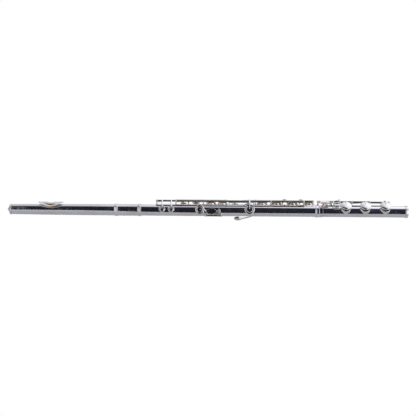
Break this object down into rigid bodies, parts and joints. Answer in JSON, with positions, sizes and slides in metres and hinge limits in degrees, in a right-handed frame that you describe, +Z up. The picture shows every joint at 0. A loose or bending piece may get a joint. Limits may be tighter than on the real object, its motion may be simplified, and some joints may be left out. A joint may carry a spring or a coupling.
{
  "type": "concert flute",
  "caption": "Silver concert flute with closed cups, offset G and a B foot, whose keys, trills, rollers, head and foot move.",
  "frame": {"origin": "on the tube's axis under the middle of the embouchure hole", "axes": "+X along the tube to the foot, +Z up through the embouchure hole, -Y to the player"},
  "size_m": [0.712, 0.0415, 0.0395],
  "materials": {
    "silver": "polished silver plate",
    "steel": "ground steel",
    "pad_skin": "yellow pad skin over felt",
    "cork": "natural cork"
  },
  "bodies": {
    "body": {"body_tube": "silver", "barrel": "silver", "main_rib": "silver", "g_rib": "silver", "thumb_rib": "silver", "upper_rod": "steel", "lower_rod": "steel", "g_rod": "steel", "thumb_rod": "steel"},
    "head": {"head_tube": "silver", "riser": "silver", "lip_plate": "silver"},
    "crown": {"crown": "silver"},
    "stopper": {"stopper_screw": "silver", "stopper_cork": "cork", "stopper_washer": "silver"},
    "foot": {"foot_tube": "silver", "foot_rib": "silver", "foot_d_sharp_post": "silver", "foot_d_sharp_rod": "steel", "foot_b_rod": "steel"},
    "c_sharp": {"c_sharp_key": "silver", "c_sharp_pad": "pad_skin"},
    "b_flat": {"b_flat_key": "silver", "b_flat_pad": "pad_skin"},
    "a": {"a_key": "silver", "a_pad": "pad_skin"},
    "g": {"g_key": "silver", "g_upper_pad": "pad_skin", "g_lower_pad": "pad_skin"},
    "g_sharp": {"g_sharp_key": "silver", "g_sharp_pad": "pad_skin"},
    "f_sharp": {"f_sharp_key": "silver", "f_sharp_pad": "pad_skin"},
    "f": {"f_key": "silver", "f_pad": "pad_skin"},
    "e": {"e_key": "silver", "e_pad": "pad_skin"},
    "d": {"d_key": "silver", "d_pad": "pad_skin"},
    "d_trill": {"d_trill_key": "silver", "d_trill_pad": "pad_skin"},
    "d_sharp_trill": {"d_sharp_trill_key": "silver", "d_sharp_trill_pad": "pad_skin"},
    "thumb_b": {"thumb_b_key": "silver", "thumb_b_pad": "pad_skin"},
    "thumb_b_flat": {"thumb_b_flat_lever": "silver"},
    "foot_d_sharp": {"foot_d_sharp_key": "silver", "foot_d_sharp_pad": "pad_skin"},
    "foot_c_sharp": {"foot_c_sharp_key": "silver", "foot_c_sharp_pad": "pad_skin"},
    "foot_c": {"foot_c_key": "silver", "foot_c_pad": "pad_skin"},
    "foot_b": {"foot_b_key": "silver", "foot_b_pad": "pad_skin"},
    "c_roller": {"c_roller": "silver"},
    "b_roller": {"b_roller": "silver"}
  },
  "joints": [
    {"name": "head_slide", "type": "slide", "parent": "body", "child": "head", "axis": [-1, 0, 0], "range_m": [-0.0025, 0.012]},
    {"name": "crown_turn", "type": "hinge", "parent": "head", "child": "crown", "pos_m": [-0.0735, 0, 0], "axis": [1, 0, 0], "range_deg": [-961, 961]},
    {"name": "stopper_slide", "type": "slide", "parent": "head", "child": "stopper", "axis": [1, 0, 0], "range_m": [-0.002, 0.002]},
    {"name": "foot_turn", "type": "hinge", "parent": "body", "child": "foot", "pos_m": [0.4755, 0, 0], "axis": [1, 0, 0], "range_deg": [-30, 30]},
    {"name": "c_sharp_press", "type": "hinge", "parent": "body", "child": "c_sharp", "pos_m": [0.2356, 0, 0.0176], "axis": [-1, 0, 0], "range_deg": [0, 11.12], "stiffness_Nm_per_rad": 0.02, "springref_deg": -14.32},
    {"name": "b_flat_press", "type": "hinge", "parent": "body", "child": "b_flat", "pos_m": [0.2855, 0, 0.0176], "axis": [-1, 0, 0], "range_deg": [0, 11.12], "stiffness_Nm_per_rad": 0.02, "springref_deg": -14.32},
    {"name": "a_press", "type": "hinge", "parent": "body", "child": "a", "pos_m": [0.306, 0, 0.0176], "axis": [-1, 0, 0], "range_deg": [0, 11.12], "stiffness_Nm_per_rad": 0.02, "springref_deg": -14.32},
    {"name": "g_press", "type": "hinge", "parent": "body", "child": "g", "pos_m": [0.3515, 0.00799, 0.01568], "axis": [-1, 0, 0], "range_deg": [0, 11.12], "stiffness_Nm_per_rad": 0.02, "springref_deg": -14.32},
    {"name": "g_sharp_press", "type": "hinge", "parent": "body", "child": "g_sharp", "pos_m": [0.353, 0, 0.0176], "axis": [-1, 0, 0], "range_deg": [0, 8.01], "stiffness_Nm_per_rad": 0.02, "springref_deg": -14.32},
    {"name": "f_sharp_press", "type": "hinge", "parent": "body", "child": "f_sharp", "pos_m": [0.3764, 0, 0.0176], "axis": [-1, 0, 0], "range_deg": [0, 11.12], "stiffness_Nm_per_rad": 0.02, "springref_deg": -14.32},
    {"name": "f_press", "type": "hinge", "parent": "body", "child": "f", "pos_m": [0.402, 0, 0.0176], "axis": [-1, 0, 0], "range_deg": [0, 11.12], "stiffness_Nm_per_rad": 0.02, "springref_deg": -14.32},
    {"name": "e_press", "type": "hinge", "parent": "body", "child": "e", "pos_m": [0.4305, 0, 0.0176], "axis": [-1, 0, 0], "range_deg": [0, 11.12], "stiffness_Nm_per_rad": 0.02, "springref_deg": -14.32},
    {"name": "d_press", "type": "hinge", "parent": "body", "child": "d", "pos_m": [0.4604, 0, 0.0176], "axis": [-1, 0, 0], "range_deg": [0, 11.12], "stiffness_Nm_per_rad": 0.02, "springref_deg": -14.32},
    {"name": "d_trill_press", "type": "hinge", "parent": "body", "child": "d_trill", "pos_m": [0.214, -0.00482, 0.01703], "axis": [-1, 0, 0], "range_deg": [0, 8.82], "stiffness_Nm_per_rad": 0.02, "springref_deg": -14.32},
    {"name": "d_sharp_trill_press", "type": "hinge", "parent": "body", "child": "d_sharp_trill", "pos_m": [0.198, -0.00482, 0.01703], "axis": [-1, 0, 0], "range_deg": [0, 8.82], "stiffness_Nm_per_rad": 0.02, "springref_deg": -14.32},
    {"name": "thumb_b_press", "type": "hinge", "parent": "body", "child": "thumb_b", "pos_m": [0.265, -0.01196, -0.00837], "axis": [-1, 0, 0], "range_deg": [0, 12.99], "stiffness_Nm_per_rad": 0.02, "springref_deg": -14.32},
    {"name": "thumb_b_flat_press", "type": "hinge", "parent": "body", "child": "thumb_b_flat", "pos_m": [0.299, -0.01196, -0.00837], "axis": [-1, 0, 0], "range_deg": [0, 12.99], "stiffness_Nm_per_rad": 0.02, "springref_deg": -14.32},
    {"name": "foot_d_sharp_press", "type": "hinge", "parent": "foot", "child": "foot_d_sharp", "pos_m": [0.4924, 0, 0.017], "axis": [1, 0, 0], "range_deg": [0, 10.62], "stiffness_Nm_per_rad": 0.02, "springref_deg": -14.32},
    {"name": "foot_c_sharp_press", "type": "hinge", "parent": "foot", "child": "foot_c_sharp", "pos_m": [0.524, 0, 0.017], "axis": [1, 0, 0], "range_deg": [0, 10.32], "stiffness_Nm_per_rad": 0.02, "springref_deg": -14.32},
    {"name": "foot_c_press", "type": "hinge", "parent": "foot", "child": "foot_c", "pos_m": [0.5585, 0, 0.017], "axis": [1, 0, 0], "range_deg": [0, 10.32], "stiffness_Nm_per_rad": 0.02, "springref_deg": -14.32},
    {"name": "foot_b_press", "type": "hinge", "parent": "foot", "child": "foot_b", "pos_m": [0.594, 0.0044, 0.01632], "axis": [1, 0, 0], "range_deg": [0, 8.87], "stiffness_Nm_per_rad": 0.02, "springref_deg": -14.32},
    {"name": "c_roller_spin", "type": "hinge", "parent": "foot_c", "child": "c_roller", "pos_m": [0.5075, -0.01064, 0.01497], "axis": [1, 0, 0], "continuous": true},
    {"name": "b_roller_spin", "type": "hinge", "parent": "foot_b", "child": "b_roller", "pos_m": [0.5075, -0.01462, 0.00986], "axis": [1, 0, 0], "continuous": true}
  ],
  "couplings": [
    {"joint": "crown_turn", "follows": "stopper_slide", "rad_per_m": 8377.6},
    {"joint": "b_flat_press", "follows": "a_press", "ratio": 1},
    {"joint": "f_sharp_press", "follows": "f_press", "ratio": 1}
  ]
}
